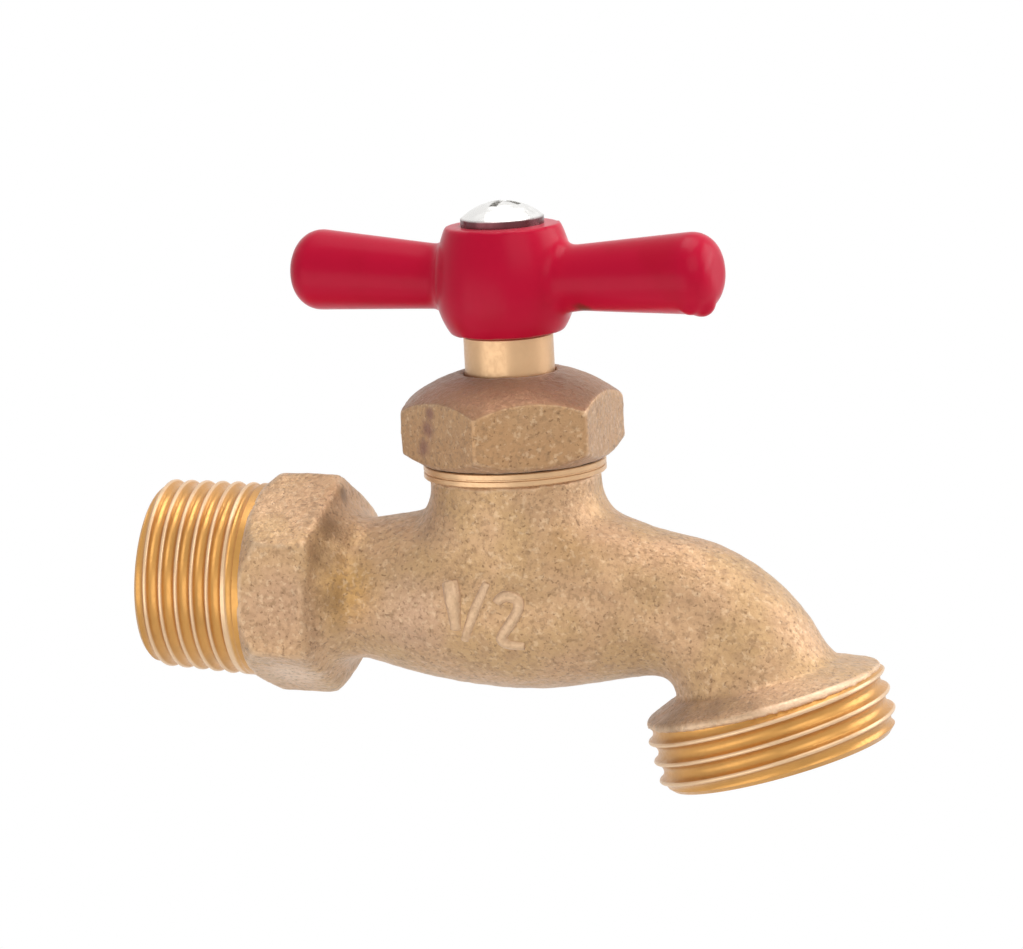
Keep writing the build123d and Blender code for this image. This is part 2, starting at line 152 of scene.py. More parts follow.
# Patches of tone on the cast body: colour, middle and radius in millimetres. The pale patch under the hex is
# painted bounce light from below; the yellow-brown patch over the hex run-out is stain deepened by painted shade
# in its hollow
BODY_TONES_AND_PAINTED_LIGHT = (
    ((0.50, 0.315, 0.20), (19, -10, -1), 7.5),
    ((0.46, 0.27, 0.11), (37, -9, 8), 4.5),
    ((0.50, 0.275, 0.075), (11.5, -8, 1), 5.5),
    ((0.45, 0.27, 0.155), (5, -10, 0), 7),
    ((0.75, 0.55, 0.40), (5, -6, -9.8), 4.5),
)

# Painted shade on the cast body, partly dark stain: along the hex's back edge, in the hollow behind it and under
# the outlet lip. Middle and radius in millimetres, and strength
BODY_PAINTED_SHADE_AND_STAINS = (
    ((9.8, -8.6, 4.6), 2.6, 0.55),
    ((10.4, -9.2, 0.2), 2.4, 0.4),
    ((9.6, -6.0, 7.4), 2.4, 0.65),
    ((9.6, -1.2, 10.4), 1.5, 0.8),
    ((48.5, -9.5, -9), 4.5, 0.6),
    ((54, -11, -7.6), 3.4, 0.5),
    ((58, -12.3, -7), 3, 0.4),
)

# Dark run down the nut: middle and radius in millimetres
NUT_STAINS = (
    ((21.3, -8.4, 21.4), 1.2),
    ((21.0, -8.1, 19.6), 1.8),
    ((20.4, -7.6, 17.4), 1.6),
)

# Lumps of enamel on the handle: middle and radius in millimetres, the web under the right arm among them
WEB = (35.4, -1.8, 34.1)
ENAMEL_LUMPS = (
    ((50.2, -4.4, 34.6), 1.6),
    ((49.3, -5.6, 34.7), 1.4),
    (WEB, 1.8),
    ((36.9, -2.6, 34.5), 1.2),
)

# Lamps in metres and watts: name, place, size and power, all turned to the middle of the tap
LAMP_TARGET = (0.03, 0, 0.01)
LAMPS = (
    ("key", (0.5, -0.5, 0.5), 0.6, 2.0),
    ("side", (0.6, 0.3, 0.3), 0.5, 2.8),
    ("top", (0.05, 0.1, 0.8), 0.6, 4.6),
    ("bounce", (-0.06, -0.21, -0.13), 0.4, 0.65),
)

# Point that the camera turns about, in millimetres, and the shift of its picture
CAMERA_TARGET = (30.5, 0, 10.5)
CAMERA_SHIFT = (-0.0196, 0.0293)


# Sizes and colours that a user would change
class CastSettings(bpy.types.PropertyGroup):
    voxel: bpy.props.FloatProperty(
        name="Body grain", description="Size of the cells that the cast skin is rebuilt from",
        default=0.34 * MM, subtype="DISTANCE",
    )
    nut_voxel: bpy.props.FloatProperty(
        name="Nut grain", description="Size of the cells that the packing nut is rebuilt from",
        default=0.26 * MM, subtype="DISTANCE",
    )
    lump: bpy.props.FloatProperty(
        name="Lumps", description="Height of the slow unevenness that the sand mould leaves",
        default=0.16 * MM, subtype="DISTANCE",
    )
    grit: bpy.props.FloatProperty(
        name="Grit", description="Height of the sand's own grain on the casting",
        default=0.07 * MM, subtype="DISTANCE",
    )
    colour: bpy.props.FloatVectorProperty(
        name="Cast brass", description="Main colour of the cast body",
        default=(0.55, 0.337, 0.18), subtype="COLOR",
    )
    nut_colour: bpy.props.FloatVectorProperty(
        name="Nut brass", description="Main colour of the packing nut",
        default=(0.455, 0.257, 0.118), subtype="COLOR",
    )


class ThreadSettings(bpy.types.PropertyGroup):
    pipe_pitch: bpy.props.FloatProperty(
        name="Pipe thread pitch", description="Pitch of the tapered pipe thread",
        default=1.814 * MM, subtype="DISTANCE",
    )
    pipe_start: bpy.props.FloatProperty(
        name="Pipe thread start", description="Place of the pipe thread's first groove along the inlet",
        default=-12.92 * MM, subtype="DISTANCE",
    )
    hose_start: bpy.props.FloatProperty(
        name="Hose thread start", description="Place of the hose thread's first groove along the outlet",
        default=-1.24 * MM, subtype="DISTANCE",
    )
    hose_pitch: bpy.props.FloatProperty(
        name="Hose thread pitch", description="Pitch of the hose thread",
        default=2.209 * MM, subtype="DISTANCE",
    )
    steps: bpy.props.IntProperty(
        name="Steps", description="Facets in one turn of a thread", default=96,
    )
    colour: bpy.props.FloatVectorProperty(
        name="Cut brass", description="Colour of freshly cut brass",
        default=(0.60, 0.30, 0.075), subtype="COLOR",
    )
    stem_colour: bpy.props.FloatVectorProperty(
        name="Turned brass", description="Colour of the turned stem",
        default=(0.68, 0.43, 0.23), subtype="COLOR",
    )


class HandleSettings(bpy.types.PropertyGroup):
    voxel: bpy.props.FloatProperty(
        name="Handle grain", description="Size of the cells that the handle is rebuilt from",
        default=0.27 * MM, subtype="DISTANCE",
    )
    enamel: bpy.props.FloatVectorProperty(
        name="Enamel", description="Colour of the handle's enamel",
        default=(0.56, 0.0055, 0.037), subtype="COLOR",
    )
    plating: bpy.props.FloatVectorProperty(
        name="Plating", description="Colour of the plated handle screw",
        default=(0.78, 0.77, 0.75), subtype="COLOR",
    )


class StageSettings(bpy.types.PropertyGroup):
    azimuth: bpy.props.FloatProperty(
        name="Azimuth", description="Camera's place round the tap", default=radians(15.5), subtype="ANGLE",
    )
    elevation: bpy.props.FloatProperty(
        name="Elevation", description="Camera's height over the horizon",
        default=radians(11.0), subtype="ANGLE",
    )
    roll: bpy.props.FloatProperty(
        name="Roll", description="Lean of the camera about its own view",
        default=radians(0.9), subtype="ANGLE",
    )
    distance: bpy.props.FloatProperty(
        name="Distance", description="Camera's distance from the tap", default=0.6, subtype="DISTANCE",
    )
    lens: bpy.props.FloatProperty(
        name="Lens", description="Focal length on a 36 mm sensor", default=193.2, subtype="DISTANCE_CAMERA",
    )


# Hand work shared by the pieces
def pick(*pieces):
    """Select these pieces alone, the first as the active one."""
    if bpy.context.object and bpy.context.object.mode != "OBJECT":
        bpy.ops.object.mode_set(mode="OBJECT")
    bpy.ops.object.select_all(action="DESELECT")
    for piece in pieces:
        piece.select_set(True)
    bpy.context.view_layer.objects.active = pieces[0]


def edit(piece, kind="VERT"):
    """Go into edit mode with everything selected."""
    pick(piece)
    bpy.ops.object.mode_set(mode="EDIT")
    bpy.ops.mesh.select_mode(type=kind)
    bpy.ops.mesh.select_all(action="SELECT")


def done():
    bpy.ops.object.mode_set(mode="OBJECT")


def finish_with(piece, kind, **settings):
    """Add one modifier and apply it."""
    pick(piece)
    modifier = piece.modifiers.new(kind.title(), kind)
    for name, value in settings.items():
        setattr(modifier, name, value)
    bpy.ops.object.modifier_apply(modifier=modifier.name)


def lift(height):
    """Matrix of a step along local Z, in millimetres."""
    return Matrix.Translation((0, 0, height * MM))


def place(piece, matrix):
    """Put a piece in the tap's frame and apply its place to its mesh."""
    pick(piece)
    piece.matrix_world = matrix
    bpy.ops.object.transform_apply(location=True, rotation=True, scale=True)


def copy_node(node, name):
    """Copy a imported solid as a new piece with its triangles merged."""
    source = frame["nodes"][node]
    piece = bpy.data.objects.new(name, source.data.copy())
    bpy.context.scene.collection.objects.link(piece)
    piece.data.name = name
    piece.data.materials.clear()
    edit(piece)
    bpy.ops.mesh.customdata_custom_splitnormals_clear()
    bpy.ops.mesh.remove_doubles(threshold=1e-6)
    done()
    return piece


def cut_away(piece, matrix):
    """Take off everything past a plane: the matrix's Z points to the side that goes."""
    reach = 0.06
    bpy.ops.object.select_all(action="DESELECT")
    bpy.ops.mesh.primitive_cube_add(size=2 * reach)
    block = bpy.context.object
    edit(block)
    bpy.ops.transform.translate(value=(0, 0, reach))
    done()
    place(block, matrix)
    carve(piece, block)


def smooth(piece, angle):
    pick(piece)
    bpy.ops.object.shade_smooth_by_angle(angle=radians(angle))


def dress(piece, material, body, node=None):
    """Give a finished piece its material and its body."""
    piece.data.materials.clear()
    piece.data.materials.append(material)
    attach(piece, body)
    if node:
        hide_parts(node)


def turn_ring(name, outline, steps, matrix):
    """Turn a closed ring from its outline of (radius, height) points in millimetres, ring by ring."""
    radius, height = outline[0]
    bpy.ops.object.select_all(action="DESELECT")
    bpy.ops.mesh.primitive_circle_add(vertices=steps, radius=radius * MM)
    piece = bpy.context.object
    piece.name = piece.data.name = name
    edit(piece)
    bpy.ops.transform.translate(value=(0, 0, height * MM))
    for next_radius, next_height in outline[1:]:
        bpy.ops.mesh.extrude_edges_indiv()
        bpy.ops.transform.translate(value=(0, 0, (next_height - height) * MM))
        ratio = next_radius / radius
        bpy.ops.transform.resize(value=(ratio, ratio, 1), center_override=(0, 0, next_height * MM))
        radius, height = next_radius, next_height
    bpy.ops.mesh.select_all(action="DESELECT")
    bpy.ops.mesh.select_non_manifold(extend=False)
    bpy.ops.mesh.bridge_edge_loops()
    bpy.ops.mesh.select_all(action="SELECT")
    bpy.ops.mesh.normals_make_consistent(inside=False)
    done()
    place(piece, matrix)
    return piece


def thread_groove(name, crest, pitch, rounding, turns, start, steps, matrix, shift=None):
    """Helical cutter for one right-hand thread groove, in millimetres about local Z.

    The shift gives how far the groove moves outwards at a height, for a taper or a run-out.
    """
    mouth = GROOVE_MOUTH * pitch
    edge = GROOVE_EDGE * pitch
    shoulder = mouth - edge / tan(GROOVE_FLANK)
    flank = (shoulder - rounding * sin(radians(60))) / tan(GROOVE_FLANK)
    bottom = crest - edge - flank - rounding * 0.5
    half = [(crest + 0.8, mouth), (crest, mouth), (crest - edge, shoulder)]
    for angle in (60, 45, 30, 15):
        turn = radians(angle)
        half.append((bottom + rounding * (1 - cos(turn)), rounding * sin(turn)))
    outline = [*half, (bottom, 0), *((radius, -height) for radius, height in reversed(half))]
    bpy.ops.object.select_all(action="DESELECT")
    bpy.ops.mesh.primitive_circle_add(vertices=len(outline), radius=MM)
    cutter = bpy.context.object
    cutter.name = cutter.data.name = name
    for vertex, (radius, height) in zip(cutter.data.vertices, outline):
        vertex.co = (radius * MM, 0, (start + height) * MM)
    finish_with(
        cutter, "SCREW", axis="Z", angle=2 * pi, screw_offset=pitch * MM, iterations=turns,
        steps=steps, render_steps=steps, use_merge_vertices=False,
    )
    edit(cutter)
    bpy.ops.mesh.fill_holes(sides=0)
    bpy.ops.mesh.select_all(action="SELECT")
    bpy.ops.mesh.normals_make_consistent(inside=False)
    done()
    if shift:
        for vertex in cutter.data.vertices:
            radius = Vector((vertex.co.x, vertex.co.y)).length
            scale = 1 + shift(vertex.co.z / MM) * MM / radius
            vertex.co.x *= scale
            vertex.co.y *= scale
    place(cutter, matrix)
    return cutter


def carve(piece, cutter):
    """Cut one closed piece out of another and throw the cutter away."""
    finish_with(piece, "BOOLEAN", operation="DIFFERENCE", solver="EXACT", object=cutter)
    mesh = cutter.data
    bpy.data.objects.remove(cutter)
    bpy.data.meshes.remove(mesh)


def join(piece, *others):
    pick(piece, *others)
    bpy.ops.object.join()


def weigh(piece, name, rule):
    """Vertex group whose weight comes from each point's place in millimetres."""
    group = piece.vertex_groups.new(name=name)
    for vertex in piece.data.vertices:
        group.add([vertex.index], rule(vertex.co / MM), "REPLACE")
    return group.name


def roughen(piece, name, height, grain, depth=2):
    """Push the skin in and out by a cloud pattern, as a sand mould leaves it."""
    cloud = bpy.data.textures.new(name, "CLOUDS")
    cloud.noise_scale = grain
    cloud.noise_depth = depth
    finish_with(piece, "DISPLACE", texture=cloud, texture_coords="LOCAL", strength=height, mid_level=0.5)


def mark_relief(piece, rounds=8):
    """Give each point the attribute relief: how far it stands out of its surroundings, in millimetres."""
    mesh = piece.data
    count = len(mesh.vertices)
    places, normals = np.empty(3 * count), np.empty(3 * count)
    mesh.vertices.foreach_get("co", places)
    mesh.vertices.foreach_get("normal", normals)
    edges = np.empty(2 * len(mesh.edges), dtype=int)
    mesh.edges.foreach_get("vertices", edges)
    places, normals, edges = places.reshape(-1, 3), normals.reshape(-1, 3), edges.reshape(-1, 2)
    near, far = np.concatenate((edges, edges[:, ::-1])).T
    share = np.bincount(near, minlength=count)
    level = places.copy()
    for _ in range(rounds):
        for axis in range(3):
            around = np.bincount(near, level[far, axis], count) / share
            level[:, axis] = (level[:, axis] + around) / 2
    relief = ((places - level) * normals).sum(axis=1) / MM
    mesh.attributes.new("relief", "FLOAT", "POINT").data.foreach_set("value", relief)


# Shader helpers
def link(tree, source, target):
    tree.links.new(source, target)


def new_group(name, inputs, outputs):
    """Empty shader group with named number inputs and named outputs."""
    tree = bpy.data.node_groups.new(name, "ShaderNodeTree")
    for label, default in inputs.items():
        socket = tree.interface.new_socket(label, in_out="INPUT", socket_type="NodeSocketFloat")
        socket.default_value = default
    for label in outputs:
        tree.interface.new_socket(label, in_out="OUTPUT", socket_type="NodeSocketFloat")
    return tree, tree.nodes.new("NodeGroupInput"), tree.nodes.new("NodeGroupOutput")


def group_speckle():
    """Spots of one size: Cover sets how much of the surface they take, Blur how soft they are."""
    values = {"Scale": 1000, "Cover": 0.6, "Blur": 0.05, "Detail": 2}
    tree, inside, outside = new_group("Speckle", values, ["Mask"])
    spot = tree.nodes.new("ShaderNodeTexCoord")
    noise = tree.nodes.new("ShaderNodeTexNoise")
    high = tree.nodes.new("ShaderNodeMath")
    ramp = tree.nodes.new("ShaderNodeMapRange")
    ramp.interpolation_type = "SMOOTHSTEP"
    link(tree, spot.outputs["Object"], noise.inputs["Vector"])
    link(tree, inside.outputs["Scale"], noise.inputs["Scale"])
    link(tree, inside.outputs["Detail"], noise.inputs["Detail"])
    link(tree, inside.outputs["Cover"], high.inputs[0])
    link(tree, inside.outputs["Blur"], high.inputs[1])
    link(tree, noise.outputs["Fac"], ramp.inputs["Value"])
    link(tree, inside.outputs["Cover"], ramp.inputs["From Min"])
    link(tree, high.outputs[0], ramp.inputs["From Max"])
    link(tree, ramp.outputs["Result"], outside.inputs["Mask"])
    return tree


def group_edges():
    """Ridges and hollows of a piece, as two masks of its relief."""
    tree, inside, outside = new_group("Edges", {"Start": 0.05, "End": 0.15}, ["Ridge", "Hollow"])
    relief = tree.nodes.new("ShaderNodeAttribute")
    relief.attribute_name = "relief"
    for label, sign in (("Ridge", 1), ("Hollow", -1)):
        height = tree.nodes.new("ShaderNodeMath")
        height.operation = "MULTIPLY"
        height.inputs[1].default_value = sign
        ramp = tree.nodes.new("ShaderNodeMapRange")
        link(tree, relief.outputs["Fac"], height.inputs[0])
        link(tree, height.outputs[0], ramp.inputs["Value"])
        link(tree, inside.outputs["Start"], ramp.inputs["From Min"])
        link(tree, inside.outputs["End"], ramp.inputs["From Max"])
        link(tree, ramp.outputs["Result"], outside.inputs[label])
    return tree


def group_spot():
    """Patch round a point, fading towards its radius and made ragged by noise."""
    values = {"X": 0, "Y": 0, "Z": 0, "Radius": MM, "Ragged": 0.5}
    tree, inside, outside = new_group("Spot", values, ["Mask"])
    place_of = tree.nodes.new("ShaderNodeTexCoord")
    centre = tree.nodes.new("ShaderNodeCombineXYZ")
    away = tree.nodes.new("ShaderNodeVectorMath")
    away.operation = "DISTANCE"
    share = tree.nodes.new("ShaderNodeMath")
    share.operation = "DIVIDE"
    noise = tree.nodes.new("ShaderNodeTexNoise")
    noise.inputs["Scale"].default_value = 900
    noise.inputs["Detail"].default_value = 3
    rough = tree.nodes.new("ShaderNodeMath")
    rough.operation = "MULTIPLY_ADD"
    ramp = tree.nodes.new("ShaderNodeMapRange")
    ramp.interpolation_type = "SMOOTHSTEP"
    ramp.inputs["From Min"].default_value = 1.25
    ramp.inputs["From Max"].default_value = 0.45
    for label in "XYZ":
        link(tree, inside.outputs[label], centre.inputs[label])
    link(tree, place_of.outputs["Object"], away.inputs[0])
    link(tree, centre.outputs["Vector"], away.inputs[1])
    link(tree, away.outputs["Value"], share.inputs[0])
    link(tree, inside.outputs["Radius"], share.inputs[1])
    link(tree, place_of.outputs["Object"], noise.inputs["Vector"])
    link(tree, noise.outputs["Fac"], rough.inputs[0])
    link(tree, inside.outputs["Ragged"], rough.inputs[1])
    link(tree, share.outputs[0], rough.inputs[2])
    link(tree, rough.outputs[0], ramp.inputs["Value"])
    link(tree, ramp.outputs["Result"], outside.inputs["Mask"])
    return tree


def group_axis():
    """Distance from an axis less its taper, height along it, and how far the surface faces along it."""
    values = {"X": 0, "Y": 0, "Z": 0, "U": 0, "V": 0, "W": 1, "Taper": 0}
    tree, inside, outside = new_group("Axis", values, ["Radius", "Height", "Facing"])
    place_of = tree.nodes.new("ShaderNodeTexCoord")
    parts = {}
    for name, labels in (("origin", "XYZ"), ("way", "UVW")):
        parts[name] = tree.nodes.new("ShaderNodeCombineXYZ")
        for label, socket in zip(labels, "XYZ"):
            link(tree, inside.outputs[label], parts[name].inputs[socket])
    operations = {
        "off": "SUBTRACT", "across": "CROSS_PRODUCT", "radius": "LENGTH",
        "height": "DOT_PRODUCT", "facing": "DOT_PRODUCT",
    }
    for name, operation in operations.items():
        parts[name] = tree.nodes.new("ShaderNodeVectorMath")
        parts[name].operation = operation
    link(tree, place_of.outputs["Object"], parts["off"].inputs[0])
    link(tree, parts["origin"].outputs["Vector"], parts["off"].inputs[1])
    for name in ("across", "height"):
        link(tree, parts["off"].outputs["Vector"], parts[name].inputs[0])
    link(tree, place_of.outputs["Normal"], parts["facing"].inputs[0])
    for name in ("across", "height", "facing"):
        link(tree, parts["way"].outputs["Vector"], parts[name].inputs[1])
    link(tree, parts["across"].outputs["Vector"], parts["radius"].inputs[0])
    steep = tree.nodes.new("ShaderNodeMath")
    steep.operation = "MULTIPLY"
    level = tree.nodes.new("ShaderNodeMath")
    level.operation = "SUBTRACT"
    link(tree, parts["height"].outputs["Value"], steep.inputs[0])
    link(tree, inside.outputs["Taper"], steep.inputs[1])
    link(tree, parts["radius"].outputs["Value"], level.inputs[0])
    link(tree, steep.outputs[0], level.inputs[1])
    link(tree, level.outputs[0], outside.inputs["Radius"])
    link(tree, parts["height"].outputs["Value"], outside.inputs["Height"])
    link(tree, parts["facing"].outputs["Value"], outside.inputs["Facing"])
    return tree


def group_sand():
    """Height of the sand grain that a mould leaves on cast metal."""
    tree, inside, outside = new_group("Sand", {"Fine": 3200, "Coarse": 900}, ["Height"])
    spot = tree.nodes.new("ShaderNodeTexCoord")
    total = tree.nodes.new("ShaderNodeMath")
    for place_in_sum, label in enumerate(("Fine", "Coarse")):
        noise = tree.nodes.new("ShaderNodeTexNoise")
        noise.inputs["Detail"].default_value = 3
        link(tree, spot.outputs["Object"], noise.inputs["Vector"])
        link(tree, inside.outputs[label], noise.inputs["Scale"])
        link(tree, noise.outputs["Fac"], total.inputs[place_in_sum])
    link(tree, total.outputs[0], outside.inputs["Height"])
    return tree


class Finish:
    """One material being mixed: a Principled shader whose colour is laid on in coats."""

    def __init__(self, name, colour, **sockets):
        self.material = bpy.data.materials.new(name)
        self.material.use_nodes = True
        self.tree = self.material.node_tree
        self.shader = self.tree.nodes["Principled BSDF"]
        self.shader.inputs["Base Color"].default_value = (*colour, 1)
        for label, value in sockets.items():
            self.shader.inputs[label.replace("_", " ")].default_value = value
        self.colour = None
        self.start = (*colour, 1)

    def group(self, name, output=0, **values):
        node = self.tree.nodes.new("ShaderNodeGroup")
        node.node_tree = bpy.data.node_groups[name]
        for label, value in values.items():
            node.inputs[label].default_value = value
        return node.outputs[output]

    def speckle(self, scale, cover, blur, detail=2):
        return self.group("Speckle", 0, Scale=scale, Cover=cover, Blur=blur, Detail=detail)

    def spot(self, centre, radius, ragged=0.5):
        """Soft ragged patch round a point, in millimetres."""
        x, y, z = (value * MM for value in centre)
        return self.group("Spot", 0, X=x, Y=y, Z=z, Radius=radius * MM, Ragged=ragged)

    def axis(self, matrix, output, low, high, taper=0):
        """Mask that rises between two values of an axis measure, in millimetres for lengths."""
        origin, way = matrix.translation, matrix.col[2]
        place = dict(zip("XYZUVW", (*origin, *way[:3])))
        value = self.group("Axis", output, Taper=taper, **place)
        ramp = self.tree.nodes.new("ShaderNodeMapRange")
        ramp.interpolation_type = "SMOOTHSTEP"
        unit = 1 if output == "Facing" else MM
        ramp.inputs["From Min"].default_value = low * unit
        ramp.inputs["From Max"].default_value = high * unit
        link(self.tree, value, ramp.inputs["Value"])
        return ramp.outputs["Result"]

    def both(self, first, second):
        """Mask where two masks meet."""
        node = self.tree.nodes.new("ShaderNodeMath")
        node.operation = "MULTIPLY"
        link(self.tree, first, node.inputs[0])
        link(self.tree, second, node.inputs[1])
        return node.outputs[0]

    def coat(self, colour, mask, strength=1.0):
        """Lay a colour on where the mask says."""
        mix = self.tree.nodes.new("ShaderNodeMix")
        mix.data_type = "RGBA"
        mix.inputs[6].default_value = self.start
        mix.inputs[7].default_value = (*colour, 1)
        if self.colour:
            link(self.tree, self.colour, mix.inputs[6])
        share = self.tree.nodes.new("ShaderNodeMath")
        share.operation = "MULTIPLY"
        share.inputs[1].default_value = strength
        link(self.tree, mask, share.inputs[0])
        link(self.tree, share.outputs[0], mix.inputs[0])
        self.colour = mix.outputs[2]
        link(self.tree, self.colour, self.shader.inputs["Base Color"])

    def vary(self, label, mask, low, high):
        """Drive a shader socket between two values by a mask."""
        ramp = self.tree.nodes.new("ShaderNodeMapRange")
        ramp.inputs["To Min"].default_value = low
        ramp.inputs["To Max"].default_value = high
        link(self.tree, mask, ramp.inputs["Value"])
        link(self.tree, ramp.outputs["Result"], self.shader.inputs[label])

    def bump(self, height, strength, distance):
        bump = self.tree.nodes.new("ShaderNodeBump")
        bump.inputs["Strength"].default_value = strength
        bump.inputs["Distance"].default_value = distance
        link(self.tree, height, bump.inputs["Height"])
        link(self.tree, bump.outputs["Normal"], self.shader.inputs["Normal"])


def sand_cast(name, colour, warm, dark, grain=1.0, patches=()):
    """Matte sand-cast brass with mottling, pale and dark grains, rubbed edges and painted shade in its hollows;
    some of its given patches are painted light.
    """
    finish = Finish(name, colour, Metallic=0.5, Roughness=0.5, Sheen_Weight=0.3, Sheen_Roughness=0.5)
    finish.coat(warm, finish.speckle(150, 0.42, 0.2, 4), 0.8)
    finish.coat(dark, finish.speckle(600, 0.47, 0.2, 4), 0.45)
    for tone, centre, radius in patches:
        finish.coat(tone, finish.spot(centre, radius), 0.7)
    finish.coat((0.30, 0.175, 0.085), finish.speckle(2000, 0.5, 0.16, 4), 0.55 * grain)
    finish.coat((0.76, 0.55, 0.35), finish.speckle(1700, 0.55, 0.13, 4), 0.36 * grain)
    finish.coat((0.17, 0.085, 0.035), finish.speckle(2400, 0.63, 0.05), 0.55 * grain)
    finish.coat((0.85, 0.62, 0.42), finish.group("Edges", "Ridge"), 0.6)
    # Painted shade darkening the hollows of the relief, with some dark stain
    finish.coat((0.28, 0.16, 0.075), finish.group("Edges", "Hollow", End=0.2), 0.5)
    finish.vary("Roughness", finish.speckle(1400, 0.4, 0.3), 0.45, 0.65)
    finish.bump(finish.group("Sand"), 0.55, 0.15 * MM)
    return finish


def cut_brass(name, colour, roughness):
    """Freshly cut brass with slow stains."""
    finish = Finish(
        name, colour, Metallic=0.6, Roughness=roughness, Sheen_Weight=0.12, Sheen_Roughness=0.5,
    )
    finish.coat([0.8 * value for value in colour], finish.speckle(220, 0.42, 0.25, 3), 0.6)
    finish.vary("Roughness", finish.speckle(2600, 0.4, 0.3), roughness - 0.05, roughness + 0.1)
    return finish


def build_materials(scene):
    group_speckle()
    group_spot()
    group_axis()
    group_edges()
    group_sand()
    cast, thread, handle = scene.tap_cast, scene.tap_thread, scene.tap_handle
    # Its patches include painted bounce light under the hex and painted shade over the hex run-out
    body = sand_cast(
        "cast brass", cast.colour, (0.52, 0.325, 0.15), (0.40, 0.235, 0.125), patches=BODY_TONES_AND_PAINTED_LIGHT,
    )
    # Painted shade, partly dark stain, in the hollow behind the hex and under the outlet lip
    for centre, radius, strength in BODY_PAINTED_SHADE_AND_STAINS:
        body.coat((0.22, 0.12, 0.05), body.spot(centre, radius), strength)
    # Painted light: pale outer rim of the lip on its lit right-front side
    lit_lip_rim = body.both(body.axis(OUTLET, "Radius", 12.5, 12.8), body.spot((65, -10, -6), 8.5, 0.3))
    body.coat((0.80, 0.55, 0.36), lit_lip_rim, 0.9)
    sand_cast("rubbed brass", (0.66, 0.44, 0.27), (0.62, 0.41, 0.24), (0.60, 0.39, 0.23), 0.35)
    nut = sand_cast("nut brass", cast.nut_colour, (0.46, 0.27, 0.13), (0.38, 0.21, 0.10))
    # Painted shadow of the handle on the nut's upward-facing dome, with some dark stain
    nut.coat((0.27, 0.125, 0.06), nut.axis(VALVE, "Facing", 0.35, 0.6), 0.72)
    for centre, radius in NUT_STAINS:
        nut.coat((0.19, 0.07, 0.055), nut.spot(centre, radius, 0.7), 0.7)
    # Pale crest colour: wear on the thread crests together with a painted highlight along them
    cream = (0.74, 0.50, 0.29)
    crest = PIPE_RADIUS + (INLET_LENGTH - TAPER_LENGTH) * TAPER
    inlet = cut_brass("inlet brass", thread.colour, 0.34)
    worn_and_lit_crests = inlet.both(
        inlet.axis(INLET, "Radius", crest - 0.26, crest - 0.1, TAPER),
        inlet.axis(INLET, "Height", -0.7, -1.1),
    )
    inlet.coat(cream, worn_and_lit_crests)
    outlet = cut_brass("outlet brass", thread.colour, 0.34)
    # Painted highlight, partly wear, on the outlet's thread crests
    outlet.coat(cream, outlet.axis(OUTLET, "Radius", OUTLET_RADIUS - 0.22, OUTLET_RADIUS - 0.06))
    cut_brass("turned brass", thread.stem_colour, 0.36)
    enamel = Finish(
        "red enamel", handle.enamel, Roughness=0.28, Specular_IOR_Level=0.1,
        Sheen_Weight=0.15, Sheen_Roughness=0.3,
    )
    enamel.coat((0.48, 0.005, 0.026), enamel.speckle(120, 0.45, 0.25, 3), 0.5)
    enamel.coat((0.11, 0.03, 0.012), enamel.spot((36.9, -3.2, 33.4), 1.5), 0.9)
    enamel.bump(enamel.group("Sand", Fine=700, Coarse=260), 0.08, 0.15 * MM)
    plate = Finish("bright plating", handle.plating, Metallic=1.0, Roughness=0.3)
    # Painted reflection of the red hub, with painted shade, as a dark maroon band on the lower skirt of the screw
    # head
    plate.coat((0.10, 0.008, 0.016), plate.axis(VALVE, "Height", 42.3, 41.95), 0.95)
    plate.vary("Roughness", plate.speckle(900, 0.4, 0.3), 0.26, 0.38)
    packing = Finish("packing cord", (0.03, 0.03, 0.032), Roughness=0.7)
    packing.coat((0.09, 0.09, 0.09), packing.speckle(1800, 0.5, 0.1), 0.7)
    packing.bump(packing.group("Sand", Fine=2500, Coarse=1200), 0.5, 0.1 * MM)
    rubber = Finish("black rubber", (0.02, 0.02, 0.02), Roughness=0.62)
    rubber.coat((0.05, 0.05, 0.05), rubber.speckle(1500, 0.5, 0.15), 0.6)
    rubber.bump(rubber.group("Sand"), 0.2, 0.05 * MM)


class TAP_OT_materials(bpy.types.Operator):
    """Mix the finishes of brass, enamel, plating, packing and rubber"""

    bl_idname = "tap.materials"
    bl_label = "Mix the finishes"

    def execute(self, context):
        build_materials(context.scene)
        return {"FINISHED"}


def material(name):
    return bpy.data.materials[name]


class TAP_OT_mark(bpy.types.Operator):
    """Raised size mark on the bowl, with strokes sunk half into the casting"""

    bl_idname = "tap.mark"
    bl_label = "Raise the size mark"

    def execute(self, context):
        pieces = []
        for strokes in NUMERALS.values():
            bpy.ops.object.select_all(action="DESELECT")
            bpy.ops.curve.primitive_nurbs_path_add()
            stroke = bpy.context.object
            curve = stroke.data
            curve.splines.clear()
            spline = curve.splines.new("NURBS")
            spline.points.add(len(strokes) - 1)
            for point, (x, y, z, radius) in zip(spline.points, strokes):
                point.co = (x * MM, (y + MARK_SINK) * MM, z * MM, 1)
                point.radius = MARK_SWELL * radius
            spline.order_u = 3
            spline.use_endpoint_u = True
            spline.resolution_u = 8
            curve.bevel_depth = MM
            curve.bevel_resolution = 3
            curve.use_fill_caps = True
            pick(stroke)
            bpy.ops.object.convert(target="MESH")
            pieces.append(bpy.context.object)
        join(*pieces)
        mark = pieces[0]
        mark.name = mark.data.name = "size_mark"
        edit(mark)
        bpy.ops.mesh.remove_doubles(threshold=1e-6)
        done()
        finish_with(mark, "REMESH", mode="VOXEL", voxel_size=MARK_VOXEL * MM, use_smooth_shade=True)
        finish_with(mark, "SMOOTH", factor=0.5, iterations=12)
        roughen(mark, "mark grit", 0.06 * MM, 0.6 * MM, 1)
        smooth(mark, 180)
        dress(mark, material("rubbed brass"), "valve_body")
        return {"FINISHED"}


